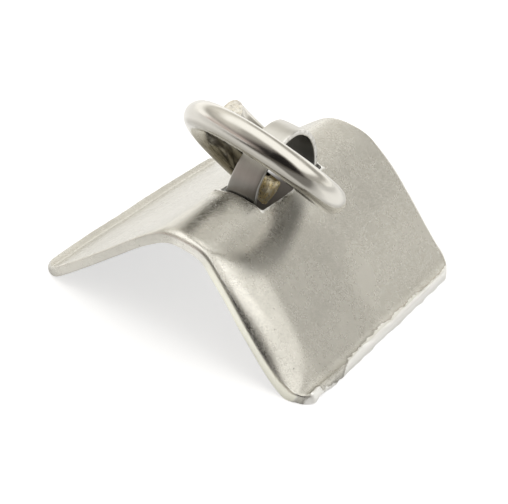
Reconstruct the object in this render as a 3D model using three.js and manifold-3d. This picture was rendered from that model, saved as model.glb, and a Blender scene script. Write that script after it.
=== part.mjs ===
// Opened book pendant: a bent sheet with a strap bail through its spine and an open jump ring.
// Millimetres, +Z up. X runs across the spine, Y runs along it, near end at -Y.
// The book stands like a tent on its two fore-edges, and the origin is at the centre of its footprint.

import * as THREE from 'three';
import { mergeVertices } from 'three/addons/utils/BufferGeometryUtils.js';
import Module from 'manifold-3d';

const wasm = await Module();
wasm.setup();

// Book sheet
const bookLength = 13.7; // along the spine
const sheetThickness = 0.45;
const coverLength = 7.7; // crest of the spine to the start of the lip, along the outer face
const coverSlopeDeg = 40.5; // fall of each cover below the horizontal
const spineRadius = 2.15; // outer face of the spine
const lipLength = 0.54; // turned-out lip on each fore-edge, along the outer face
const lipTurnDeg = 68; // how far the lip bends back up from the cover
const cornerRadius = 0.8; // rounded outer corners of the covers
const droopDepth = 0.08; // how far the two ends of a cover bend down
const droopWidth = 2.2; // width of the bent-down zone at the middle of a cover

// Opening of the spine and strap bail
const strapFootWidth = 1.7; // across the spine, at the feet and legs
const strapTopWidth = 1.2; // at the top of the arch
const strapThickness = 0.25;
const archInnerRadius = 2.16; // inside of the arch, where the jump ring runs
const archCentreHeight = -0.07; // centre of the arch above the crest of the spine
const openingSideGap = 0.21; // between the strap and each long side of the opening
const openingEndGap = 0.1; // between a leg and its end of the opening
const footLength = 1.3; // of each foot beyond its leg
const footGap = 0.04; // below the spine's inner face, at the corners of the foot
const solderFilmGap = 0.02; // between the solder and the spine

// Jump ring
const wireDiameter = 1.18;
const ringRadius = 3.2; // of the wire's centre line
const wirePitch = 1.32; // sideways step of the wire in one turn
const ringLeanDeg = 42.7; // of the ring's plane above the horizontal, towards the near end
const ringSwivelDeg = 10.1; // turn of the ring in the bail, right side down
const ringSlide = 0.9; // of the ring's centre across the bail, to the right
const ringReach = 0.655; // from the arch's centre line to the wire, half-way between its ends
const nearEndTurnDeg = -170; // where the lower end stops, 0 at the top of the ring
const farEndTurnDeg = 251; // where the upper end stops

// Fineness of the faceted surfaces
const spineSteps = 10; // per cover
const coverSteps = 12;
const lipSteps = 4;
const endSteps = 4; // across each drooping end
const narrowestEnd = 0.18; // of those rows of points, where an end doesn't droop
const archSteps = 28;
const solderSteps = 8;
const wireSides = 16;
const wireSteps = 84;
const weldDistance = 0.0001; // points closer than this are one

const radians = THREE.MathUtils.degToRad;

// Materials: silver-coloured plate, bright worn wire, grey solder
const plateMetal = new THREE.MeshStandardMaterial({ color: 0xc3c0b8, roughness: 0.34, metalness: 1 });
const strapMetal = new THREE.MeshStandardMaterial({ color: 0xb4b0a6, roughness: 0.3, metalness: 1 });
const ringMetal = new THREE.MeshStandardMaterial({ color: 0xd0ccc2, roughness: 0.22, metalness: 1 });
const solderMetal = new THREE.MeshStandardMaterial({ color: 0x9a9a98, roughness: 0.5, metalness: 1 });

// Helpers

function addFaces(indices, quads) {
  for (const [a, b, c, d] of quads) {
    indices.push(a, b, c, a, c, d);
  }
}

function solidOf(positions, indices) {
  const geometry = new THREE.BufferGeometry();
  geometry.setAttribute('position', new THREE.Float32BufferAttribute(positions, 3));
  geometry.setIndex(indices);
  return geometry;
}

function toManifold(geometry) {
  const bare = geometry.clone();
  bare.deleteAttribute('normal');
  bare.deleteAttribute('uv');
  const merged = mergeVertices(bare, weldDistance);
  return new wasm.Manifold(new wasm.Mesh({
    numProp: 3,
    vertProperties: new Float32Array(merged.attributes.position.array),
    triVerts: new Uint32Array(merged.index.array),
  }));
}

function toGeometry(manifold) {
  const mesh = manifold.getMesh();
  return solidOf(Array.from(mesh.vertProperties), Array.from(mesh.triVerts));
}

// Section of the book: the outer face from the crest to the end of the lip, one side.
// Each station has its length along the outer face, its place and the slope of the face.

const coverSlope = radians(coverSlopeDeg);
const spineArc = spineRadius * coverSlope;
const lipTurn = radians(lipTurnDeg);
const lipRadius = lipLength / lipTurn;
const halfSection = coverLength + lipLength;

function sectionStations() {
  const stations = [];
  for (let i = 0; i <= spineSteps; i += 1) {
    const angle = (coverSlope * i) / spineSteps;
    stations.push({
      length: spineRadius * angle,
      x: spineRadius * Math.sin(angle),
      z: spineRadius * (Math.cos(angle) - 1),
      slope: angle,
    });
  }
  const bend = stations[spineSteps];
  const straight = coverLength - spineArc;
  for (let i = 1; i <= coverSteps; i += 1) {
    const along = (straight * i) / coverSteps;
    stations.push({
      length: spineArc + along,
      x: bend.x + along * Math.cos(coverSlope),
      z: bend.z - along * Math.sin(coverSlope),
      slope: coverSlope,
    });
  }
  const root = stations[spineSteps + coverSteps];
  for (let i = 1; i <= lipSteps; i += 1) {
    const slope = coverSlope - (lipTurn * i) / lipSteps;
    stations.push({
      length: coverLength + (lipLength * i) / lipSteps,
      x: root.x + lipRadius * (Math.sin(coverSlope) - Math.sin(slope)),
      z: root.z - lipRadius * (Math.cos(slope) - Math.cos(coverSlope)),
      slope,
    });
  }
  return stations;
}

// Half the length of the sheet at a station: shorter where the corners are rounded.
function halfLengthAt(length) {
  const intoCorner = length - (halfSection - cornerRadius);
  if (intoCorner <= 0) {
    return bookLength / 2;
  }
  const across = Math.sqrt(Math.max(0, cornerRadius ** 2 - intoCorner ** 2));
  return bookLength / 2 - cornerRadius + across;
}

// The ends of each cover bend down in a lens-shaped zone, widest at the cover's middle.
function droopWidthAt(length) {
  const share = (length - spineArc) / (coverLength - spineArc);
  if (share <= 0 || share >= 1) {
    return 0;
  }
  return droopWidth * Math.sin(Math.PI * share);
}

const half = sectionStations();
const section = [
  ...half.slice(1).reverse().map((s) => ({ ...s, x: -s.x, slope: -s.slope })),
  ...half,
];

// Lowest point of the sheet's inner face, where the covers turn into the lips
const lowest = Math.min(...half.map((s) => s.z - sheetThickness * Math.cos(s.slope)));
const crestHeight = -lowest;

// Book plate: rows of points along Y at each station, on the outer and the inner face
function bookPlateGeometry() {
  const rowCount = 2 * endSteps + 2;
  const positions = [];
  for (const side of [0, 1]) {
    for (const station of section) {
      const halfLength = halfLengthAt(station.length);
      const zone = Math.max(droopWidthAt(station.length), narrowestEnd);
      const depth = droopDepth * (droopWidthAt(station.length) / droopWidth);
      for (let row = 0; row < rowCount; row += 1) {
        const nearSide = row < rowCount / 2;
        const step = nearSide ? row : rowCount - 1 - row;
        const share = 1 - step / endSteps;
        const y = halfLength - zone * (1 - share);
        const down = depth * share ** 2 + side * sheetThickness;
        positions.push(
          station.x - down * Math.sin(station.slope),
          nearSide ? -y : y,
          crestHeight + station.z - down * Math.cos(station.slope),
        );
      }
    }
  }
  const at = (side, station, row) => (side * section.length + station) * rowCount + row;
  const quads = [];
  const last = rowCount - 1;
  for (let i = 0; i < section.length - 1; i += 1) {
    for (let row = 0; row < last; row += 1) {
      quads.push([at(0, i, row), at(0, i + 1, row), at(0, i + 1, row + 1), at(0, i, row + 1)]);
      quads.push([at(1, i, row), at(1, i, row + 1), at(1, i + 1, row + 1), at(1, i + 1, row)]);
    }
    quads.push([at(0, i, 0), at(1, i, 0), at(1, i + 1, 0), at(0, i + 1, 0)]);
    quads.push([at(0, i, last), at(0, i + 1, last), at(1, i + 1, last), at(1, i, last)]);
  }
  const end = section.length - 1;
  for (let row = 0; row < last; row += 1) {
    quads.push([at(0, 0, row), at(0, 0, row + 1), at(1, 0, row + 1), at(1, 0, row)]);
    quads.push([at(0, end, row), at(1, end, row), at(1, end, row + 1), at(0, end, row + 1)]);
  }
  const indices = [];
  addFaces(indices, quads);
  return solidOf(positions, indices);
}

// Strap bail: a half-round arch that runs down through the opening, with feet turned outwards.
// The legs stand upright from the level of the arch's centre down to the feet.

const archOuterRadius = archInnerRadius + strapThickness;
const archCentreZ = crestHeight + archCentreHeight;
const archTopZ = archCentreZ + archOuterRadius;
const legOuterY = archOuterRadius;
const innerSpineRadius = spineRadius - sheetThickness;
const footCornerDrop = innerSpineRadius
  - Math.sqrt(innerSpineRadius ** 2 - (strapFootWidth / 2) ** 2);
const footTopZ = crestHeight - sheetThickness - footCornerDrop - footGap;
const footBottomZ = footTopZ - strapThickness;

function strapOutline() {
  const outline = new THREE.Shape();
  outline.moveTo(-legOuterY - footLength, footBottomZ);
  outline.lineTo(-archInnerRadius, footBottomZ);
  outline.lineTo(-archInnerRadius, archCentreZ);
  for (let i = 1; i <= archSteps; i += 1) {
    const angle = Math.PI * (1 - i / archSteps);
    outline.lineTo(archInnerRadius * Math.cos(angle), archCentreZ + archInnerRadius * Math.sin(angle));
  }
  outline.lineTo(archInnerRadius, footBottomZ);
  outline.lineTo(legOuterY + footLength, footBottomZ);
  outline.lineTo(legOuterY + footLength, footTopZ);
  outline.lineTo(legOuterY, footTopZ);
  outline.lineTo(legOuterY, archCentreZ);
  for (let i = 1; i <= archSteps; i += 1) {
    const angle = (Math.PI * i) / archSteps;
    outline.lineTo(archOuterRadius * Math.cos(angle), archCentreZ + archOuterRadius * Math.sin(angle));
  }
  outline.lineTo(-legOuterY, footTopZ);
  outline.lineTo(-legOuterY - footLength, footTopZ);
  outline.closePath();
  return outline;
}

// An outline in the Y-Z plane, pushed out along X and centred on the spine
function acrossSpine(outline, width) {
  const geometry = new THREE.ExtrudeGeometry(outline, { depth: width, bevelEnabled: false });
  geometry.translate(0, 0, -width / 2);
  geometry.applyMatrix4(new THREE.Matrix4().makeBasis(
    new THREE.Vector3(0, 1, 0),
    new THREE.Vector3(0, 0, 1),
    new THREE.Vector3(1, 0, 0),
  ));
  return geometry;
}

// The strap narrows from the crest of the spine to the top of the arch.
function strapGeometry() {
  const geometry = acrossSpine(strapOutline(), strapFootWidth);
  const position = geometry.attributes.position;
  for (let i = 0; i < position.count; i += 1) {
    const climb = Math.max(0, (position.getZ(i) - crestHeight) / (archTopZ - crestHeight));
    const width = strapFootWidth + (strapTopWidth - strapFootWidth) * climb;
    position.setX(i, (position.getX(i) * width) / strapFootWidth);
  }
  return geometry;
}

// Opening of the spine: a box through the whole sheet, a little larger than the strap's legs
function openingGeometry() {
  const width = strapFootWidth + 2 * openingSideGap;
  const length = 2 * (legOuterY + openingEndGap);
  const height = 2 * (spineRadius + sheetThickness);
  const box = new THREE.BoxGeometry(width, length, height);
  box.translate(0, 0, crestHeight);
  return box;
}

// Solder: fills the space between a foot and the round inner face of the spine
function solderOutline() {
  const solderRadius = innerSpineRadius - solderFilmGap;
  const axisZ = crestHeight - spineRadius;
  const reach = Math.asin((strapFootWidth / 2) / solderRadius);
  const outline = new THREE.Shape();
  outline.moveTo(-strapFootWidth / 2, footTopZ);
  outline.lineTo(strapFootWidth / 2, footTopZ);
  for (let i = 0; i <= solderSteps; i += 1) {
    const angle = reach * (1 - (2 * i) / solderSteps);
    outline.lineTo(solderRadius * Math.sin(angle), axisZ + solderRadius * Math.cos(angle));
  }
  outline.closePath();
  return outline;
}

// An outline in the X-Z plane, pushed along Y from a starting place
function alongSpine(outline, startY, length) {
  const geometry = new THREE.ExtrudeGeometry(outline, { depth: length, bevelEnabled: false });
  geometry.applyMatrix4(new THREE.Matrix4().makeBasis(
    new THREE.Vector3(1, 0, 0),
    new THREE.Vector3(0, 0, 1),
    new THREE.Vector3(0, -1, 0),
  ));
  geometry.translate(0, startY + length, 0);
  return geometry;
}

// Jump ring: the wire's centre line climbs a little as it goes round.
// In the ring's own axes, x is to the right, y is up the lean and z is square to the ring.

class RingCurve extends THREE.Curve {
  getPoint(share, target = new THREE.Vector3()) {
    const turn = radians(nearEndTurnDeg + (farEndTurnDeg - nearEndTurnDeg) * share);
    return target.set(
      ringRadius * Math.sin(turn),
      ringRadius * Math.cos(turn),
      (-wirePitch * turn) / (2 * Math.PI),
    );
  }
}

function ringGeometry() {
  const wireSection = new THREE.Shape();
  const radius = wireDiameter / 2;
  for (let i = 0; i < wireSides; i += 1) {
    const angle = (2 * Math.PI * i) / wireSides;
    const x = radius * Math.cos(angle);
    const y = radius * Math.sin(angle);
    if (i === 0) {
      wireSection.moveTo(x, y);
    } else {
      wireSection.lineTo(x, y);
    }
  }
  wireSection.closePath();
  return new THREE.ExtrudeGeometry(wireSection, { extrudePath: new RingCurve(), steps: wireSteps });
}

// The ring leans over the near end, up the lean is -Y and +Z, and its wire passes through the bail
// at the height of the arch's centre and a little above.
function ringPlacement() {
  const lean = radians(ringLeanDeg);
  const up = new THREE.Vector3(0, -Math.cos(lean), Math.sin(lean));
  const swivel = radians(ringSwivelDeg);
  const square = new THREE.Vector3(0, Math.sin(lean), Math.cos(lean));
  const right = new THREE.Vector3(1, 0, 0);
  right.multiplyScalar(Math.cos(swivel)).addScaledVector(square, -Math.sin(swivel));
  const normal = new THREE.Vector3().crossVectors(right, up);
  const rise = Math.sqrt(ringRadius ** 2 - ringSlide ** 2);
  const centre = new THREE.Vector3(0, 0, archCentreZ);
  centre.addScaledVector(up, ringReach + rise).addScaledVector(right, ringSlide);
  const matrix = new THREE.Matrix4().makeBasis(right, up, normal);
  matrix.setPosition(centre);
  return matrix;
}

// The pendant

const group = new THREE.Group();

function addPiece(name, geometry, material) {
  const mesh = new THREE.Mesh(geometry, material);
  mesh.name = name;
  group.add(mesh);
  return mesh;
}

const bookPlate = toManifold(bookPlateGeometry()).subtract(toManifold(openingGeometry()));
addPiece('book_plate', toGeometry(bookPlate), plateMetal);
addPiece('bail_strap', strapGeometry(), strapMetal);
addPiece('solder_near', alongSpine(solderOutline(), -legOuterY - footLength, footLength), solderMetal);
addPiece('solder_far', alongSpine(solderOutline(), legOuterY, footLength), solderMetal);

const jumpRing = addPiece('jump_ring', ringGeometry(), ringMetal);
const placement = ringPlacement();
placement.decompose(jumpRing.position, jumpRing.quaternion, jumpRing.scale);

export default group;
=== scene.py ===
import math

import bmesh
import bpy
from mathutils import Matrix, Vector


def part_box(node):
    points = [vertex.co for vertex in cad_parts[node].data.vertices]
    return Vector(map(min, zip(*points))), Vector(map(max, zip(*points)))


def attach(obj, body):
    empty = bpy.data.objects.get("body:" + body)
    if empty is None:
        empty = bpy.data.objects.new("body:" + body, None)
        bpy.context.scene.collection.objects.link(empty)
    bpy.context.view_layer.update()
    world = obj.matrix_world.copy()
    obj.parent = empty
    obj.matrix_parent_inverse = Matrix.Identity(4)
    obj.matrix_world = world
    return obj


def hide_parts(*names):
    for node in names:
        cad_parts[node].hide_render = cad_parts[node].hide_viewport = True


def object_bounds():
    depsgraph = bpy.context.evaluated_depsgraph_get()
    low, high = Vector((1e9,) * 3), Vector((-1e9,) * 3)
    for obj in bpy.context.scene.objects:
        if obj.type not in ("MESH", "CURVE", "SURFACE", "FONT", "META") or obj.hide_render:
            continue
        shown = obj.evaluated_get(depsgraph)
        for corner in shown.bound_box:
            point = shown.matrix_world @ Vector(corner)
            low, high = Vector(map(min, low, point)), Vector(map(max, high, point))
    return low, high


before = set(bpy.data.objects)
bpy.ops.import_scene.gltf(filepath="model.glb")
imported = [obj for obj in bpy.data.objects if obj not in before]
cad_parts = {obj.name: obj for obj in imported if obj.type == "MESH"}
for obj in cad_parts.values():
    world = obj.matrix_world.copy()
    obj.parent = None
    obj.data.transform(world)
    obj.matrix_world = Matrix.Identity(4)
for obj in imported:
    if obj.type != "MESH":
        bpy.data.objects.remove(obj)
cad_box = [list(corner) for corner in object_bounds()]

# Book sheet
# A rectangle of plated sheet metal, bent over a round bar into the spine and two flat covers,
# with a turned-out lip on each fore-edge, ends that roll down a little, and an opening cut
# through the spine for the bail. The plating is satin, rubbed and finely scratched.

mm = 0.001
book_length = 13.7 * mm
sheet_thickness = 0.45 * mm
spine_radius = 2.15 * mm
cover_slope = math.radians(40.5)
cover_straight = 6.18 * mm
lip_length = 0.5 * mm
lip_turn = math.radians(63)
corner_radius = 0.8 * mm
corner_on_cover = 0.26 * mm
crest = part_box("book_plate")[1].z
right_edge_x = cad_box[1][0]
spine_end_x = spine_radius * math.sin(cover_slope)
cover_end_x = spine_end_x + cover_straight * math.cos(cover_slope)


def deselect_all():
    bpy.ops.object.select_all(action="DESELECT")


def start_editing():
    bpy.ops.object.mode_set(mode="EDIT")
    bpy.ops.mesh.select_mode(type="EDGE")


def stop_editing():
    bpy.ops.object.mode_set(mode="OBJECT")


def select_all_parts():
    bpy.ops.mesh.select_all(action="SELECT")


def select_where(piece, parts, test):
    """Selects only those corners, edges or faces of a piece in edit mode that pass a test."""
    bpy.ops.mesh.select_mode(type={"verts": "VERT", "edges": "EDGE", "faces": "FACE"}[parts])
    bpy.ops.mesh.select_all(action="DESELECT")
    shape = bmesh.from_edit_mesh(piece.data)
    for part in getattr(shape, parts):
        if test(part):
            part.select_set(True)
    shape.select_flush_mode()
    bmesh.update_edit_mesh(piece.data)


def push(x, y, z):
    bpy.ops.mesh.extrude_region_move(TRANSFORM_OT_translate={"value": (x, y, z)})


def stretch(x, y, z, centre=(0, 0, 0)):
    bpy.ops.transform.resize(value=(x, y, z), center_override=centre)


def apply_modifier(piece, kind, **settings):
    modifier = piece.modifiers.new(kind.title(), kind)
    for name, value in settings.items():
        setattr(modifier, name, value)
    bpy.ops.object.modifier_apply(modifier=modifier.name)


def half_length_at(past_corner):
    """Half of the sheet's length, a way past the start of its rounded corners."""
    return book_length / 2 - corner_radius + math.sqrt(max(0, corner_radius**2 - past_corner**2))


# the section along the crest, as long and thick as the sheet
section_middle_z = crest - sheet_thickness / 2
crest_section = (0, 0, section_middle_z)
deselect_all()
bpy.ops.mesh.primitive_plane_add(size=1, location=crest_section, rotation=(0, math.pi / 2, 0))
book = bpy.context.object
book.name = "book_sheet"
bpy.ops.object.transform_apply(location=False, rotation=True, scale=False)
bpy.ops.object.transform_apply(location=True, rotation=False, scale=False)
start_editing()
select_all_parts()
stretch(1, book_length, sheet_thickness, crest_section)

# its upper corners are rounded, most at the far end, and the lower ones are only broken
near_rounding = 0.10 * mm
far_rounding = 0.34 * mm
under_rounding = 0.06 * mm
length_cuts = 139
select_where(book, "verts", lambda v: v.co.z > section_middle_z and v.co.y < 0)
bpy.ops.mesh.bevel(offset=near_rounding, segments=4, affect="VERTICES")
select_where(book, "verts", lambda v: v.co.z > section_middle_z and v.co.y > 0)
bpy.ops.mesh.bevel(offset=far_rounding, segments=7, affect="VERTICES")
select_where(book, "verts", lambda v: v.co.z < crest - 0.9 * sheet_thickness)
bpy.ops.mesh.bevel(offset=under_rounding, segments=2, affect="VERTICES")
select_all_parts()
bpy.ops.mesh.delete(type="ONLY_FACE")
select_where(book, "edges", lambda e: e.calc_length() > 0.5 * book_length)
bpy.ops.mesh.subdivide(number_cuts=length_cuts)

# the right half of the sheet: spine, straight cover, and lip with its rounded corners
spine_steps = 7
cover_steps = 17
corner_steps = 2
lip_steps = 10


def push_down_cover(reach):
    push(reach * math.cos(cover_slope), 0, -reach * math.sin(cover_slope))


def draw_corners_in(past_corner, reach):
    """Shortens the newest section to fit the rounded corners, and gives the way past their start."""
    grown = half_length_at(past_corner + reach) / half_length_at(past_corner)
    stretch(1, grown, 1)
    return past_corner + reach


bpy.ops.mesh.select_mode(type="EDGE")
select_all_parts()
spine_centre = (0, 0, crest - spine_radius)
bpy.ops.mesh.spin(steps=spine_steps, angle=-cover_slope, center=spine_centre, axis=(0, 1, 0))
for step in range(cover_steps):
    push_down_cover((cover_straight - corner_on_cover) / cover_steps)
past_corner = 0
for step in range(corner_steps):
    push_down_cover(corner_on_cover / corner_steps)
    past_corner = draw_corners_in(past_corner, corner_on_cover / corner_steps)
lip_radius = lip_length / lip_turn
lip_centre = (
    cover_end_x + lip_radius * math.sin(cover_slope),
    0,
    crest
    - spine_radius * (1 - math.cos(cover_slope))
    - cover_straight * math.sin(cover_slope)
    + lip_radius * math.cos(cover_slope),
)
for step in range(lip_steps):
    bpy.ops.mesh.spin(steps=1, angle=lip_turn / lip_steps, center=lip_centre, axis=(0, 1, 0))
    past_corner = draw_corners_in(past_corner, lip_length / lip_steps)

# the cut end of the lip, its rim broken by the file
filed_rims = ((0.05 * mm, 0.03 * mm), (0.06 * mm, 0.015 * mm))
lip_end_slope = cover_slope - lip_turn
bpy.ops.mesh.edge_face_add()
bpy.ops.mesh.select_mode(type="FACE")
for rim, proud in filed_rims:
    bpy.ops.mesh.inset(thickness=rim, depth=0)
    outwards = (proud * math.cos(lip_end_slope), 0, -proud * math.sin(lip_end_slope))
    bpy.ops.transform.translate(value=outwards)
select_all_parts()
bpy.ops.mesh.normals_make_consistent(inside=False)
stop_editing()
across_spine = (True, False, False)
seam = 0.002 * mm
apply_modifier(book, "MIRROR", use_axis=across_spine, use_mirror_merge=True, merge_threshold=seam)


def shift(piece, direction, distance, share_at, texture=None):
    """Moves corners along a direction, each by its own share of a distance. A texture makes it uneven."""
    group = piece.vertex_groups.new(name="shift")
    for corner in piece.data.vertices:
        share = share_at(*corner.co)
        if share > 0:
            group.add([corner.index], min(1, share), "REPLACE")
    apply_modifier(
        piece,
        "DISPLACE",
        direction=direction,
        texture=texture,
        mid_level=0.5 if texture else 0,
        strength=distance,
        vertex_group="shift",
    )
    piece.vertex_groups.clear()


def limited(share):
    return min(1, max(0, share))


def along_cover(x):
    """How far along a cover a place is, from 0 beside the spine to 1 at the lip."""
    start = 0.7 * mm
    return limited((abs(x) - start) / (cover_end_x - start))


def near_zone(y, width):
    """How far into a zone at the near end a place is, from 0 at its inner edge to 1 at the end."""
    return max(0, 1 - (book_length / 2 + y) / width) if width > 0 else 0


# the shoulders of the spine are pressed up and the covers bowed, but much less beside the ring
right_shoulder_rise = 0.34 * mm
left_shoulder_rise = 0.20 * mm
shoulders_end = 6.4 * mm
ring_side_y = -0.7 * mm
ring_side_half_length = 1.1 * mm
ring_side_half_width = 2 * mm


def shoulder(x, y, start, peak):
    """How far up a shoulder is pressed at a place, as a share of its rise."""
    if not start < x < shoulders_end:
        return 0
    rise = math.sin(math.pi / 2 * (x - start) / (peak - start)) ** 2
    fall = math.cos(math.pi / 2 * (x - peak) / (shoulders_end - peak)) ** 2
    past_ring_side = ((y - ring_side_y) / ring_side_half_length) ** 2
    beside_ring = math.exp(-past_ring_side - (x / ring_side_half_width) ** 4)
    return (rise if x < peak else fall) * (1 - 0.8 * beside_ring)


def right_shoulder(x, y, z):
    return shoulder(x, y, start=0.1 * mm, peak=2.6 * mm)


def left_shoulder(x, y, z):
    return shoulder(-x, y, start=-0.2 * mm, peak=1.9 * mm)


shift(book, "Z", right_shoulder_rise, right_shoulder)
shift(book, "Z", left_shoulder_rise, left_shoulder)

# the near end of the right cover rolls down most, in a lens-shaped zone, and its rim further still
square_to_cover = 1 / math.cos(cover_slope)
lens_drop = 0.24 * mm * square_to_cover
lens_reach = 2.15 * mm
lens_start_x = 1.0 * mm
lens_middle_x = 3.3 * mm
lens_end_x = 6.25 * mm
rim_drop = 0.36 * mm * square_to_cover
rim_reach = 0.95 * mm
end_set_back = 0.09 * mm
set_back_reach = 2.5 * mm


def lens_share(x):
    """The width of the lens-shaped zone, as a share of its greatest width."""
    rise = math.sin(math.pi / 2 * limited((x - lens_start_x) / (lens_middle_x - lens_start_x)))
    past_middle = max(0, x - lens_middle_x) / (lens_end_x - lens_middle_x)
    return rise * (1 - 0.15 * past_middle) * max(0, 1 - past_middle**6)


def rim_share(x):
    return math.sin(math.pi * along_cover(x) ** 1.3) if x > 0 else 0


def rolled_down(x, y, z):
    return lens_share(x) * near_zone(y, lens_reach * lens_share(x)) ** 1.25


shift(book, "Z", -lens_drop, rolled_down)
shift(book, "Z", -rim_drop, lambda x, y, z: rim_share(x) * near_zone(y, rim_reach) ** 2)
shift(book, "Y", end_set_back, lambda x, y, z: rim_share(x) * near_zone(y, set_back_reach))

# the spine's near end is rubbed round
spine_rub = 0.12 * mm
spine_rub_reach = 0.4 * mm
spine_rub_half_width = 2.2 * mm


def rubbed_round(x, y, z):
    return max(0, 1 - (x / spine_rub_half_width) ** 2) * near_zone(y, spine_rub_reach) ** 2


shift(book, "Z", -spine_rub, rubbed_round)

# the left cover's ends roll down only a little
left_end_drop = 0.09 * mm
left_end_reach = 2.0 * mm


def left_ends(x, y, z):
    bow = math.sin(math.pi * along_cover(x))
    if x > 0 or bow == 0:
        return 0
    return bow * max(0, 1 - (book_length / 2 - abs(y)) / (left_end_reach * bow)) ** 2


shift(book, "Z", -left_end_drop, left_ends)

# the far end of the right cover bulges out and up
far_bulge_out = 0.14 * mm
far_bulge_up = 0.05 * mm
far_bulge_reach = 3.2 * mm
bulge_start_x = -2 * mm
bulge_end_x = 8.3 * mm
bulge_rise = 5 * mm
bulge_fall = 2.2 * mm


def far_bulge(x, y):
    if y < book_length / 2 - far_bulge_reach or x < bulge_start_x:
        return 0
    across_cover = min(1, (x - bulge_start_x) / bulge_rise) * min(1, (bulge_end_x - x) / bulge_fall)
    return across_cover * (1 - (book_length / 2 - y) / far_bulge_reach)


shift(book, "Y", far_bulge_out, lambda x, y, z: far_bulge(x, y))
shift(book, "Z", far_bulge_up, lambda x, y, z: far_bulge(x, y) ** 2)

# the far corner of the right cover is rounder than the others
corner_cut = 0.75 * mm
corner_cut_width = 0.8 * mm
corner_cut_reach = 3 * mm


def at_corner(x, y, z):
    share = max(0, 1 - (right_edge_x - x) / corner_cut_width) ** 2
    return share * max(0, 1 - (book_length / 2 - y) / corner_cut_reach) if y > 0 else 0


shift(book, "Y", -corner_cut, at_corner)

# the opening for the bail, punched through the spine
opening_half_width = 1.06 * mm
opening_half_length = 2.51 * mm
opening_corner = 0.12 * mm
opening_rounding = 0.12 * mm
punch_height = 4 * mm
deselect_all()
bpy.ops.mesh.primitive_cube_add(size=1, location=(0, 0, crest))
punch = bpy.context.object
start_editing()
select_all_parts()
stretch(2 * opening_half_width, 2 * opening_half_length, punch_height, (0, 0, crest))
select_where(punch, "edges", lambda e: abs(e.verts[0].co.z - e.verts[1].co.z) > punch_height / 2)
bpy.ops.mesh.bevel(offset=opening_corner, segments=3, affect="EDGES")
stop_editing()
deselect_all()
book.select_set(True)
bpy.context.view_layer.objects.active = book
apply_modifier(book, "BOOLEAN", operation="DIFFERENCE", object=punch, solver="EXACT")
bpy.data.objects.remove(punch)


def is_outer_edge_of_opening(edge):
    place = (edge.verts[0].co + edge.verts[1].co) / 2
    slack = 0.02 * mm
    if abs(place.x) > opening_half_width + slack or abs(place.y) > opening_half_length + slack:
        return False
    surface = crest - spine_radius + math.sqrt(spine_radius**2 - place.x**2)
    return place.z > surface - 0.1 * mm and edge.calc_face_angle(0) > math.radians(40)


# its outer edges are rubbed round
start_editing()
select_where(book, "edges", is_outer_edge_of_opening)
bpy.ops.mesh.bevel(offset=opening_rounding, segments=4, affect="EDGES", clamp_overlap=True)
select_all_parts()
bpy.ops.mesh.remove_doubles(threshold=0.001 * mm)
select_where(book, "edges", lambda e: e.is_boundary)
bpy.ops.mesh.fill_holes(sides=0)
stop_editing()

# a burr stands up at the opening's near left corner
burr_height = 0.13 * mm
burr_radius = 0.42 * mm
burr_x = -1.2 * mm
burr_y = -2.7 * mm


def at_burr(x, y, z):
    return max(0, 1 - math.hypot(x - burr_x, y - burr_y) / burr_radius) ** 2


shift(book, "Z", burr_height, at_burr)

# the fore-edges are ragged and not quite straight, and the whole sheet is a little uneven
uneven = bpy.data.textures.new("uneven", "CLOUDS")
uneven.noise_scale = 3.5 * mm
uneven.noise_depth = 1
ragged = bpy.data.textures.new("ragged", "CLOUDS")
ragged.noise_scale = 0.8 * mm
ragged.noise_depth = 2
right_raggedness = 0.22 * mm
left_raggedness = 0.07 * mm
end_raggedness = 0.08 * mm
right_lip_out = 0.08 * mm
left_lip_bow = 0.1 * mm
bow_half_length = 7 * mm
unevenness = 0.07 * mm


def right_lip(x, reach):
    """Goes from 1 at the right fore-edge down to 0 at a reach from it."""
    return 1 - (right_edge_x - x) / reach


def left_lip(x, reach):
    return right_lip(-x, reach)


def bowed_left(x, y, z):
    return (1 - (y / bow_half_length) ** 2) * left_lip(x, 2 * mm)


def both_ends(x, y, z):
    return 1 - (book_length / 2 - abs(y)) / (0.5 * mm)


shift(book, "X", right_raggedness, lambda x, y, z: right_lip(x, 0.7 * mm), ragged)
shift(book, "X", left_raggedness, lambda x, y, z: left_lip(x, 0.8 * mm), ragged)
shift(book, "X", right_lip_out, lambda x, y, z: right_lip(x, 1.6 * mm))
shift(book, "X", -left_lip_bow, bowed_left)
shift(book, "Y", end_raggedness, both_ends, ragged)
shift(book, "Z", unevenness, lambda x, y, z: 1, uneven)
bpy.ops.object.shade_smooth_by_angle(angle=math.radians(38))


class Value:
    """A number that varies over a surface: arithmetic with it adds Math nodes."""

    def __init__(self, finish, socket):
        self.finish = finish
        self.socket = socket

    def _join(self, operation, left, right):
        return self.finish.add("Math", {"operation": operation}, {0: left, 1: right})

    def __add__(self, other):
        return self._join("ADD", self, other)

    def __radd__(self, other):
        return self._join("ADD", other, self)

    def __sub__(self, other):
        return self._join("SUBTRACT", self, other)

    def __rsub__(self, other):
        return self._join("SUBTRACT", other, self)

    def __mul__(self, other):
        return self._join("MULTIPLY", self, other)

    def __rmul__(self, other):
        return self._join("MULTIPLY", other, self)

    def __truediv__(self, other):
        return self._join("DIVIDE", self, other)

    def __abs__(self):
        return self.finish.add("Math", {"operation": "ABSOLUTE"}, {0: self})

    def larger(self, other):
        return self._join("MAXIMUM", self, other)

    def within(self, low, high):
        """Goes from 0 at low to 1 at high, with a soft start and end."""
        sockets = {"Value": self, "From Min": low, "From Max": high}
        return self.finish.add("MapRange", {"interpolation_type": "SMOOTHSTEP"}, sockets)

    def before(self, low, high):
        """Goes from 1 at low to 0 at high, with a soft start and end."""
        return 1 - self.within(low, high)


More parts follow.
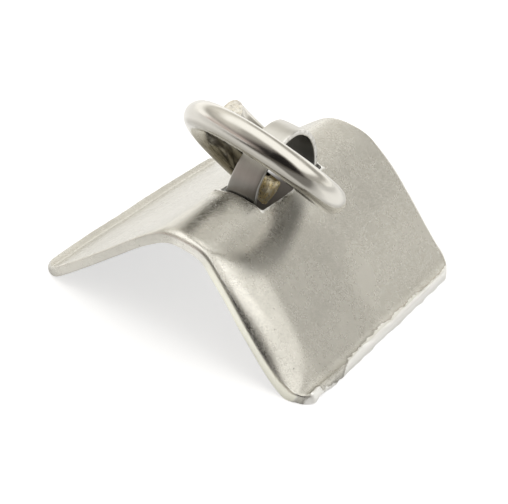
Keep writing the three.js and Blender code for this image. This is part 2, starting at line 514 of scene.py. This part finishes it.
class Finish:
    """The nodes of one finish, or of the world's light. Sizes in it are in millimetres."""

    def __init__(self, name, world=None):
        self.material = world or bpy.data.materials.new(name)
        self.material.use_nodes = True
        self.tree = self.material.node_tree
        self.tree.nodes.clear()
        if world is None:
            coordinates = self.add("TexCoord", {}, {}, output="Object")
            sockets = {0: coordinates, "Scale": 1 / mm}
            self.place = self.add("VectorMath", {"operation": "SCALE"}, sockets)

    def add(self, kind, settings, sockets, output=0):
        node = self.tree.nodes.new("ShaderNode" + kind)
        for name, setting in settings.items():
            setattr(node, name, setting)
        for name, given in sockets.items():
            if isinstance(given, Value):
                self.tree.links.new(given.socket, node.inputs[name])
            else:
                node.inputs[name].default_value = given
        if node.outputs:
            return Value(self, node.outputs[output])
        return node

    def axis(self, letter):
        return self.add("SeparateXYZ", {}, {0: self.place}, output=letter)

    def noise(self, per_mm, detail=2, stretch=(1, 1, 1), turn=(0, 0, 0)):
        place = self.add("Mapping", {}, {"Vector": self.place, "Rotation": turn})
        place = self.add("VectorMath", {"operation": "MULTIPLY"}, {0: place, 1: stretch})
        return self.add("TexNoise", {}, {"Vector": place, "Scale": per_mm, "Detail": detail})

    def scratches(self, length, width, turn, share):
        """Thin straight marks: noise drawn out along one direction, and only its highest parts kept."""
        marks = self.noise(1, 1, (1 / length, 1 / width, 1 / width), (0, 0, turn))
        return marks.within(share, share + 0.05)

    def mix(self, share, first, second):
        sockets = {"Factor": share, 6: first, 7: second}
        return self.add("Mix", {"data_type": "RGBA"}, sockets, output=2)

    def metal(self, colour, roughness, height, depth):
        """Ends the finish: a metal with this colour and roughness, and bumps depth millimetres high."""
        bumps = self.add("Bump", {}, {"Strength": 1.0, "Distance": depth * mm, "Height": height})
        sockets = {"Base Color": colour, "Roughness": roughness, "Metallic": 1.0, "Normal": bumps}
        surface = self.add("BsdfPrincipled", {}, sockets)
        self.add("OutputMaterial", {}, {"Surface": surface})
        return self.material


black = (0, 0, 0, 1)
plating_colour = (0.665, 0.648, 0.592, 1)
painted_highlight_colour = (0.97, 0.95, 0.89, 1)
worn_end_colour = (0.95, 0.945, 0.92, 1)
worn_near_colour = (0.98, 0.97, 0.86, 1)
plating = Finish("satin silver plating")
across = plating.axis("X")
along = plating.axis("Y")
cloud = plating.noise(0.45, 4)
mottle = plating.noise(3.2, 4)
grain = plating.noise(11, 3)
blotch = plating.noise(1.3, 3)

# fine scratches in three directions, by length, width, turn and how many stay out, with pale
# flecks and small pits
scratch_kinds = ((1.3, 0.028, 35, 0.6), (1.8, 0.03, -62, 0.6), (0.7, 0.028, 8, 0.61))
hair = 0
for length, width, turn, share in scratch_kinds:
    hair = hair + plating.scratches(length, width, math.radians(turn), share) * 0.6
flecks = plating.noise(6.5, 2).within(0.62, 0.68) * cloud.within(0.42, 0.6)
pit_place = plating.add("TexVoronoi", {}, {"Vector": plating.place, "Scale": 2.2, "Randomness": 1.0})
pits = pit_place.before(0.03, 0.09) * plating.noise(0.8, 2).within(0.42, 0.6)

# the plating is worn off along the far end, along the near end of the right cover, round the
# opening and on the right lip, where a stretch towards the near end is spared
unworn = along.within(-5.9, -5.4) * along.before(-4.0, -2.8)
fore_edge = across + (plating.noise(1.3, 4) - 0.5) * 0.7 - unworn * 0.30
lip_wear = fore_edge.within(6.52, 6.58)
lip_line = fore_edge.within(6.41, 6.50) * (1 - lip_wear)
near_wear = along.before(-6.77, -6.70) * across.within(0.4, 1.6)
end_wear = along.within(6.62, 6.76) + near_wear
past_side = abs(across) - opening_half_width / mm
past_end = abs(along) - opening_half_length / mm
past_opening = past_side.larger(past_end) + plating.noise(2.5, 3) * 0.3
worn = end_wear.larger(lip_wear).larger(past_opening.before(0.17, 0.25))

# painted shadow: dark bands standing in for the shadow of the ring and bail run from the opening down the
# right cover and along the left of the spine
past_bend = along + 4.1
right_painted_shadow = across - 2.42 + past_bend * past_bend * (0.12 - past_bend * 0.0153)
right_painted_shadow = abs(right_painted_shadow).before(0.1, 0.75)
right_painted_shadow = right_painted_shadow * along.within(-6.2, -5.3) * along.before(-0.4, 0.9)
right_painted_shadow = right_painted_shadow * (0.42 + along.within(-4.2, -1.8) * 0.18)
left_painted_shadow = abs(across + 0.26 + (along + 6.1) * 0.14).before(0.1, 0.6)
left_painted_shadow = left_painted_shadow * along.within(-6.9, -6.2) * along.before(-3.6, -2.8) * 0.26

# painted sheen and shade: the right cover is painted palest towards its far lip and greyer in the middle
# of its near half, with a painted grey shade at the foot of its near end and a painted dark reflection in
# a grey streak at its near end
far_lip_painted_sheen = across.within(2.5, 6.2) * (0.02 + along.within(-2, 4) * 0.14)
near_middle_painted_shade = across.within(2.2, 4) * along.within(-5.4, -4.4) * along.before(-1.5, 1.5) * 0.13
near_foot_painted_shade = along.before(-6.0, -5.2) * across.within(4.0, 4.8) * 0.08
near_painted_dark_reflection = along.before(-6.62, -6.52) * across.within(2.0, 2.5) * across.before(3.4, 3.8) * 0.2
tone = cloud * 0.16 + blotch * 0.08 + mottle * 0.09 + 0.79
tone = tone - pits * 0.4 - hair * 0.04 + flecks * 0.06 - lip_line * 0.2
tone = tone + far_lip_painted_sheen - near_middle_painted_shade
# the painted shadow of the ring and bail darkens the tone
tone = tone * (1 - right_painted_shadow) * (1 - left_painted_shadow)
tone = tone - near_foot_painted_shade - near_painted_dark_reflection

# painted highlights: the rolled near end of the right cover and the near end of the crest are painted
# bright
rolled_painted_highlight = (along - (across - 1.75) * 0.2).before(-6.45, -6.15) * along.within(-6.58, -6.46)
rolled_painted_highlight = rolled_painted_highlight * across.within(1.2, 1.7) * across.before(3.2, 4.4) * 0.7
crest_painted_highlight = abs(across - 0.3).before(0.4, 1.0) * along.before(-6.66, -6.35)
body_colour = plating.mix(tone, black, plating_colour)
body_colour = plating.mix((rolled_painted_highlight + crest_painted_highlight) * 0.6, body_colour, painted_highlight_colour)
worn_colour = plating.mix(near_wear, worn_end_colour, worn_near_colour)
colour = plating.mix(worn, body_colour, worn_colour)
roughness = 0.20 + cloud * 0.08 + mottle * 0.06 + worn * 0.10 + pits * 0.2
height = grain * 0.10 + mottle * 0.18 + blotch * 0.4 - hair * 0.25 - pits * 1.0 + worn * mottle * 0.5
book.data.materials.clear()
book.data.materials.append(plating.metal(colour, roughness, height, depth=0.012))

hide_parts("book_plate")
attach(book, "pendant")

# Strap bail
# A strip of the same metal, bent over a round bar into an arch and pushed up through the opening.
# Its two feet are bent outwards and soldered to the inside of the spine. Its edges are rubbed bright.

strap_width = 1.7 * mm
strap_top_width = 1.2 * mm
strap_thickness = 0.25 * mm
strap_edge_rounding = 0.07 * mm
arch_radius = 2.285 * mm
arch_centre_z = crest - 0.07 * mm
arch_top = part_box("bail_strap")[1].z
foot_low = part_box("bail_strap")[0].z
foot_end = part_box("bail_strap")[1].y
foot_bend = 0.2 * mm
foot_z = foot_low + strap_thickness / 2
foot_steps = 5
bend_steps = 6
leg_steps = 3
arch_steps = 36


def strap_width_at(height):
    climb = max(0, (height - crest) / (arch_top - crest))
    return strap_width + (strap_top_width - strap_width) * climb


def strap_foot_out():
    for step in range(foot_steps):
        push(0, (foot_end - arch_radius - foot_bend) / foot_steps, 0)


def strap_bend(bend_y):
    """Bends the strip a quarter turn between a foot and a leg."""
    centre = (0, bend_y, foot_z + foot_bend)
    bpy.ops.mesh.spin(steps=bend_steps, angle=-math.pi / 2, center=centre, axis=(1, 0, 0))


def strap_leg(direction):
    for step in range(leg_steps):
        push(0, 0, direction * (arch_centre_z - foot_z - foot_bend) / leg_steps)


foot_section = (0, -foot_end, foot_z)
arch_centre = (0, 0, arch_centre_z)
deselect_all()
bpy.ops.mesh.primitive_plane_add(size=1, location=foot_section, rotation=(math.pi / 2, 0, 0))
strap = bpy.context.object
strap.name = "strap_bail"
bpy.ops.object.transform_apply(location=True, rotation=True, scale=True)
start_editing()
select_all_parts()
stretch(strap_width, 1, strap_thickness, foot_section)
bpy.ops.mesh.select_mode(type="VERT")
bpy.ops.mesh.bevel(offset=strap_edge_rounding, segments=4, affect="VERTICES")
select_all_parts()
bpy.ops.mesh.delete(type="ONLY_FACE")
select_where(strap, "edges", lambda e: e.calc_length() > 0.5 * strap_width)
bpy.ops.mesh.subdivide(number_cuts=7)
bpy.ops.mesh.select_mode(type="EDGE")
select_all_parts()
strap_foot_out()
strap_bend(-arch_radius - foot_bend)
strap_leg(1)
for step in range(arch_steps):
    bpy.ops.mesh.spin(steps=1, angle=math.pi / arch_steps, center=arch_centre, axis=(1, 0, 0))
    before = arch_centre_z + arch_radius * math.sin(math.pi * step / arch_steps)
    after = arch_centre_z + arch_radius * math.sin(math.pi * (step + 1) / arch_steps)
    stretch(strap_width_at(after) / strap_width_at(before), 1, 1)
strap_leg(-1)
strap_bend(arch_radius + foot_bend)
strap_foot_out()
bpy.ops.mesh.fill_holes(sides=0)
select_where(strap, "edges", lambda e: e.is_boundary)
bpy.ops.mesh.fill_holes(sides=0)
select_all_parts()
bpy.ops.mesh.normals_make_consistent(inside=False)
stop_editing()
dents = bpy.data.textures.new("dents", "CLOUDS")
dents.noise_scale = 0.9 * mm
dents.noise_depth = 2
dent_depth = 0.03 * mm
apply_modifier(
    strap, "DISPLACE", direction="NORMAL", texture=dents, mid_level=0.5, strength=dent_depth
)

# the near leg is cut narrower on its right
cut_off = 0.25 * mm
cut_top = 7.0 * mm
cut_fade = 1.4 * mm


def cut_side(x, y, z):
    return limited((cut_top - z) / cut_fade) * x / (strap_width / 2) if y < 0 < x else 0


shift(strap, "X", -cut_off, cut_side)
bpy.ops.object.shade_smooth_by_angle(angle=math.radians(50))

strip_colour = (0.66, 0.645, 0.60, 1)
rubbed_colour = (0.80, 0.79, 0.76, 1)
strip = Finish("rubbed silver strip")
strip_across = strip.axis("X")
strip_up = strip.axis("Z")
strip_cloud = strip.noise(0.9, 4)
strip_grain = strip.noise(12, 3)
strip_lines = strip.noise(1, 2, stretch=(9, 0.6, 0.6))
# painted shade: the strip is painted darker low down in the opening, and darker still towards its right
# side there
low = strip_up.before(4.8, 7.2)
strip_tone = 0.78 + strip_cloud * 0.16 + strip_lines * 0.08
strip_tone = strip_tone * (1 - low * 0.52) * (1 - low * strip_across.within(-0.3, 0.7) * 0.35)
strip_body = strip.mix(strip_tone, black, strip_colour)
side = abs(strip_across) + strip_up.within(5.1, 7.4) * 0.25
rubbed = side.within(0.75, 0.84) * strip.noise(4, 2).within(0.3, 0.6) * 0.7
strip_surface = strip.mix(rubbed, strip_body, rubbed_colour)
strip_roughness = 0.26 + strip_cloud * 0.16 - rubbed * 0.08
strip_height = strip_grain * 0.3 + strip_lines * 0.5 + strip_cloud * 0.6
strap.data.materials.clear()
strap.data.materials.append(strip.metal(strip_surface, strip_roughness, strip_height, depth=0.012))

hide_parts("bail_strap")
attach(strap, "pendant")

# Solder under the feet
# A drop of grey solder, run in between each foot of the bail and the inside of the spine,
# with a hollow skirt round the foot where it cooled.

solder_skirt = (0.5 * mm, 0.3 * mm, 0.16 * mm)
solder_run_out = 0.12 * mm
lump_height = 0.16 * mm
dark_solder = (0.42, 0.42, 0.42, 1)
pale_solder = (0.72, 0.72, 0.70, 1)
solder_finish = Finish("grey solder")
solder_cloud = solder_finish.noise(1.8, 4)
solder_grain = solder_finish.noise(14, 2)
solder_colour = solder_finish.mix(solder_cloud, dark_solder, pale_solder)
solder_roughness = 0.34 + solder_cloud * 0.25
solder_height = solder_cloud * 0.9 + solder_grain * 0.3
solder_material = solder_finish.metal(solder_colour, solder_roughness, solder_height, depth=0.03)
lumps = bpy.data.textures.new("lumps", "CLOUDS")
lumps.noise_scale = 0.7 * mm
lumps.noise_depth = 1
for name, node in (("solder_run_near", "solder_near"), ("solder_run_far", "solder_far")):
    low_corner, high_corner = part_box(node)
    run_middle = (low_corner + high_corner) / 2
    run_size = high_corner - low_corner + Vector(solder_skirt)
    outward = 1 if low_corner.y > 0 else -1
    deselect_all()
    bpy.ops.mesh.primitive_cube_add(size=1, location=(0, run_middle.y, run_middle.z))
    solder = bpy.context.object
    solder.name = name
    bpy.ops.object.transform_apply(location=True, rotation=True, scale=True)
    start_editing()
    select_all_parts()
    stretch(*run_size, (0, run_middle.y, run_middle.z))
    bpy.ops.transform.translate(value=(0, outward * solder_run_out, 0))
    bpy.ops.mesh.subdivide(number_cuts=11)
    bpy.ops.mesh.vertices_smooth(factor=0.6, repeat=6)
    stop_editing()
    apply_modifier(
        solder, "DISPLACE", direction="NORMAL", texture=lumps, mid_level=0.5, strength=lump_height
    )
    bpy.ops.object.shade_smooth()
    solder.data.materials.clear()
    solder.data.materials.append(solder_material)
    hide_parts(node)
    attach(solder, "pendant")

# Jump ring
# Round wire wound a little more than once round a bar, cut off with pliers and left open. It goes
# through the bail where it overlaps: one end stops in there and the other goes on past it.
# The wire is bright, and its cut ends are rough and yellowish.

wire_radius = 0.59 * mm
ring_radius = 3.2 * mm
wire_pitch = 1.32 * mm
near_end_turn = -175
far_end_turn = 251
wire_turned = far_end_turn - near_end_turn
wire_steps = 168
wire_sides = 32
ring_lean = math.radians(42.7)
ring_swivel = math.radians(10.1)
ring_slide = 0.9 * mm
ring_reach = 0.655 * mm


def wire_place(turn):
    """The middle of the wire, a number of degrees past the ring's top, before the ring is leaned."""
    angle = math.radians(90 - turn)
    return Vector((ring_radius * math.cos(angle), ring_radius * math.sin(angle), -wire_pitch * turn / 360))


def wire_line(turn):
    """The direction of the wire at that place."""
    angle = math.radians(90 - turn)
    return Vector((-math.sin(angle), math.cos(angle), 0))


deselect_all()
bpy.ops.mesh.primitive_circle_add(
    vertices=wire_sides, radius=wire_radius, fill_type="NOTHING", rotation=(math.pi / 2, 0, 0)
)
ring = bpy.context.object
ring.name = "open_ring"
bpy.ops.object.transform_apply(location=True, rotation=True, scale=True)
start_editing()
select_all_parts()
bpy.ops.transform.translate(value=(ring_radius, 0, 0))
stop_editing()
ring.rotation_euler = (0, 0, math.radians(90 - far_end_turn))
ring.location = (0, 0, -wire_pitch * far_end_turn / 360)
bpy.ops.object.transform_apply(location=True, rotation=True, scale=True)
apply_modifier(
    ring,
    "SCREW",
    axis="Z",
    angle=math.radians(wire_turned),
    screw_offset=wire_pitch * wire_turned / 360,
    steps=wire_steps,
    render_steps=wire_steps,
    use_merge_vertices=False,
)

# both ends are closed, and the cut leaves a groove inside the rim and a raised middle
cut_rims = ((0.06 * mm, -0.02 * mm), (0.12 * mm, 0.03 * mm), (0.14 * mm, 0.02 * mm))
start_editing()
select_where(ring, "edges", lambda e: e.is_boundary)
bpy.ops.mesh.fill_holes(sides=0)
select_all_parts()
bpy.ops.mesh.normals_make_consistent(inside=False)
select_where(ring, "faces", lambda f: len(f.verts) == wire_sides)
for rim, proud in cut_rims:
    bpy.ops.mesh.inset(thickness=rim, depth=proud, use_individual=True)
stop_editing()

# the pliers left both ends uneven
pinch_depth = 0.12 * mm
pinched = bpy.data.textures.new("pinched", "CLOUDS")
pinched.noise_scale = 0.3 * mm
pinched.noise_depth = 2
ends = ring.vertex_groups.new(name="ends")
for turn in (near_end_turn, far_end_turn):
    for corner in ring.data.vertices:
        if math.dist(corner.co, wire_place(turn)) < wire_radius * 1.06:
            ends.add([corner.index], 1, "REPLACE")
apply_modifier(
    ring,
    "DISPLACE",
    direction="NORMAL",
    texture=pinched,
    mid_level=0.5,
    strength=pinch_depth,
    vertex_group="ends",
)

# the ring leans over the near half of the spine, held by the bail
ring_up = Vector((0, -math.cos(ring_lean), math.sin(ring_lean)))
ring_square = Vector((0, math.sin(ring_lean), math.cos(ring_lean)))
ring_right = Vector((1, 0, 0)) * math.cos(ring_swivel) - ring_square * math.sin(ring_swivel)
ring_normal = ring_right.cross(ring_up)
ring_axes = Matrix((ring_right, ring_up, ring_normal)).transposed()
ring_rise = ring_reach + math.sqrt(ring_radius**2 - ring_slide**2)
ring_centre = Vector((0, 0, arch_centre_z)) + ring_up * ring_rise + ring_right * ring_slide
ring.matrix_world = Matrix.Translation(ring_centre) @ ring_axes.to_4x4()
bpy.ops.object.transform_apply(location=True, rotation=True, scale=True)
bpy.ops.object.shade_smooth_by_angle(angle=math.radians(45))

wire_colour = (0.70, 0.68, 0.63, 1)
low_shade_colour = (0.20, 0.18, 0.13, 1)
flank_shade_colour = (0.20, 0.18, 0.14, 1)
wire = Finish("bright drawn wire")
wire_across = wire.axis("X")
wire_cloud = wire.noise(0.7, 4)
wire_grain = wire.noise(10, 3)
wire_marks = wire.noise(2.6, 3)
wire_body = wire.mix(0.84 + wire_cloud * 0.18, black, wire_colour)
# painted shade: the low side of the wire, inside the bail, is painted dark, unevenly
painted_shade_side = wire.axis("Z").before(6.6, 7.9) * wire_across.before(0.2, 1.6)
painted_low_shade = painted_shade_side * (0.72 + wire.noise(1.6, 3).within(0.36, 0.6) * 0.28)
wire_body = wire.mix(painted_low_shade, wire_body, low_shade_colour)

# painted shade: the flank that faces the book is painted darker, standing in for the book's grey that it
# reflects
plane_sockets = {0: wire.place, 1: ring_normal}
from_plane = wire.add("VectorMath", {"operation": "DOT_PRODUCT"}, plane_sockets, output="Value")
from_plane = from_plane - ring_centre.dot(ring_normal) / mm + (wire_across - 0.9) * 0.08
painted_flank_shade = from_plane.within(0.36, 0.52) * wire.axis("Y").before(-4.6, -3.6)
wire_body = wire.mix(painted_flank_shade * 0.55, wire_body, flank_shade_colour)
wire_roughness = 0.14 + wire_cloud.within(0.5, 0.62) * 0.10 + wire_grain * 0.05
wire_height = wire_marks * 0.8 + wire_grain * 0.2
bright_wire = wire.metal(wire_body, wire_roughness, wire_height, depth=0.004)

cut_gold = (0.80, 0.66, 0.36, 1)
cut_silver = (0.96, 0.94, 0.88, 1)
cut_brown = (0.20, 0.15, 0.08, 1)
cut = Finish("rough cut wire end")
cut_cloud = cut.noise(3.5, 4)
cut_grain = cut.noise(11, 4)
# painted highlight: the upper cut end, up in the light, is painted paler and with fewer dark specks than
# the lower end inside the bail
painted_light_upper_end = cut.axis("Z").within(6, 8)
cut_bright = cut_cloud.within(0.4, 0.62)
cut_bright = cut_bright * (0.45 + painted_light_upper_end * 0.55) + (1 - cut_bright) * painted_light_upper_end * 0.85
cut_colour = cut.mix(cut_bright, cut_gold, cut_silver)
cut_dark = cut_grain.within(0.56, 0.64) * (0.6 - painted_light_upper_end * 0.25)
cut_colour = cut.mix(cut_dark, cut_colour, cut_brown)
cut_roughness = 0.42 + cut_grain * 0.2
cut_height = cut_grain * 0.8 + cut_cloud
cut_end = cut.metal(cut_colour, cut_roughness, cut_height, depth=0.05)

ring.data.materials.clear()
ring.data.materials.append(bright_wire)
ring.data.materials.append(cut_end)


def from_end(face, turn):
    return (face.center - ring_centre - ring_axes @ wire_place(turn)).length


# both cut faces are rough, and a crust covers the whole tip of the lower end
for face in ring.data.polygons:
    for turn in (near_end_turn, far_end_turn):
        faces_along = abs(face.normal.dot(ring_axes @ wire_line(turn))) > 0.5
        if faces_along and from_end(face, turn) < wire_radius * 1.1:
            face.material_index = 1
    if from_end(face, near_end_turn) < wire_radius * 1.3:
        face.material_index = 1

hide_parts("jump_ring")
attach(ring, "ring")

# Studio
# A white table under a large soft light, with a pale wall low behind it, a greyer ceiling
# above the wall, and the dim room behind the camera.

table_size = 1.2
table_colour = (0.62, 0.62, 0.62, 1)
shaded_colour = (0.11, 0.10, 0.09, 1)
unlit_colour = (0.12, 0.11, 0.10, 1)
deselect_all()
bpy.ops.mesh.primitive_plane_add(size=table_size, location=(0, 0, 0))
table = bpy.context.object
table.name = "table"
table_top = Finish("white table")
seen_by_camera = table_top.add("LightPath", {}, {}, output="Is Camera Ray")
mirrored = Value(table_top, seen_by_camera.socket.node.outputs["Is Glossy Ray"])
table_x = table_top.axis("X")
table_y = table_top.axis("Y")

# the table is dark in the shade under the far half of the book
shade_middle_x = -1
shade_middle_y = 5
shade_half_width = 5.2
shade_half_length = 3.1
shade_x = (table_x - shade_middle_x) / shade_half_width
shade_y = (table_y - shade_middle_y) / shade_half_length
shade_x = shade_x * shade_x
shade_y = shade_y * shade_y
covered = (shade_x * shade_x + shade_y * shade_y).before(0.5, 1.6)

# in mirror images the table glows round the book, most on its right and then on its left,
# and is dark far in front of it and in front on the right
beside_book = abs(table_x).larger(abs(table_y)).within(5.6, 7.4)
to_left = table_x.before(-3, 7)
not_in_front = table_y.within(-13, -7)
before_book = table_y.before(-7, -4) * table_y.within(-18, -12)
before_book = before_book * table_x.within(-3.5, -0.5) * table_x.before(4, 9)
behind_right = table_y.within(-6, -1) * table_x.within(7.5, 10) * table_x.before(20, 40)
far_in_front = table_y.before(-45, -16) * table_x.within(-70, 0)
front_right = table_y.before(-10, -6) * table_x.within(7, 11) * 0.8
unlit = far_in_front.larger(front_right) * mirrored
shine = 0.22 + to_left * (0.17 + not_in_front * 0.14) + before_book * 0.12 + behind_right * 0.4
glowing = seen_by_camera * 0.66 * (1 - covered) + mirrored * shine * beside_book
matt_colour = table_top.mix(covered, table_colour, shaded_colour)
matt_colour = table_top.mix(unlit, matt_colour, unlit_colour)
matt = table_top.add("BsdfDiffuse", {}, {"Color": matt_colour})
glow = table_top.add("Emission", {}, {"Color": (1, 1, 1, 1), "Strength": glowing * (1 - unlit)})
both = table_top.add("AddShader", {}, {0: matt, 1: glow})
table_top.add("OutputMaterial", {}, {"Surface": both})
table.data.materials.append(table_top.material)

# the light all round, by direction: the wall low on the left, its foot, the lamp overhead,
# a window on the right, the ceiling's grey, and the dim side of the room behind the camera
bpy.context.scene.world = bpy.data.worlds.new("studio")
room = Finish("studio", bpy.context.scene.world)
direction = room.add("TexCoord", {}, {}, output="Generated")
up = room.add("SeparateXYZ", {}, {0: direction}, output="Z")
right = room.add("SeparateXYZ", {}, {0: direction}, output="X")
far = room.add("SeparateXYZ", {}, {0: direction}, output="Y")
wall = up.before(0.16, 0.38) * right.before(0.1, 0.4)
wall_foot = up.before(0.04, 0.22) * right.before(0.75, 0.95) * far.within(0.2, 0.5)
lamp = up.within(0.60, 0.80) * far.within(-0.45, -0.10)
window = right.within(0.15, 0.4) * far.before(0.60, 0.71) * up.within(0.25, 0.4)
window = window * far.within(-0.3, -0.1)
lit = wall.larger(lamp).larger(window).larger(wall_foot)
camera_side = far.before(-0.40, -0.12) * (up - right * 0.4).before(0.35, 0.85)
camera_side_depth = 0.5 + right.within(-0.4, 0.3) * 0.46
far_left = right.before(-0.6, 0.1) * far.within(0.1, 0.5) * 0.25
upper_left = right.before(-0.55, -0.15) * up.within(0.3, 0.6) * 0.3
level = 0.50 + upper_left + far_left + lit * (0.94 - far_left - upper_left)
level = level * (1 - camera_side * camera_side_depth)
ceiling_tint = (1.0, 0.965, 0.89, 1)
lit_tint = (1, 0.99, 0.96, 1)
camera_side_tint = (1.0, 0.87, 0.82, 1)
white = (1, 1, 1, 1)
tint = room.mix(lit, ceiling_tint, lit_tint)
tint = room.mix(camera_side, tint, camera_side_tint)
sky_seen = room.add("LightPath", {}, {}, output="Is Camera Ray")
shown = room.mix(sky_seen, tint, white)
strength = sky_seen + (1 - sky_seen) * level
background = room.add("Background", {}, {"Color": shown, "Strength": strength})
room.add("OutputWorld", {}, {"Surface": background})

# The photograph's viewpoint: from the near end, a little to the right and above
camera_data = bpy.data.cameras.new("view")
camera_data.lens = 112.43
camera_data.sensor_width = 36
camera_data.clip_start = 1 * mm
camera_data.clip_end = 5
camera = bpy.data.objects.new("view", camera_data)
camera.location = (26.106 * mm, -52.876 * mm, 39.467 * mm)
camera.rotation_euler = (math.radians(56.440), math.radians(-8.961), math.radians(32.350))
bpy.context.scene.collection.objects.link(camera)
bpy.context.scene.camera = camera
bpy.context.scene.view_settings.view_transform = "Standard"
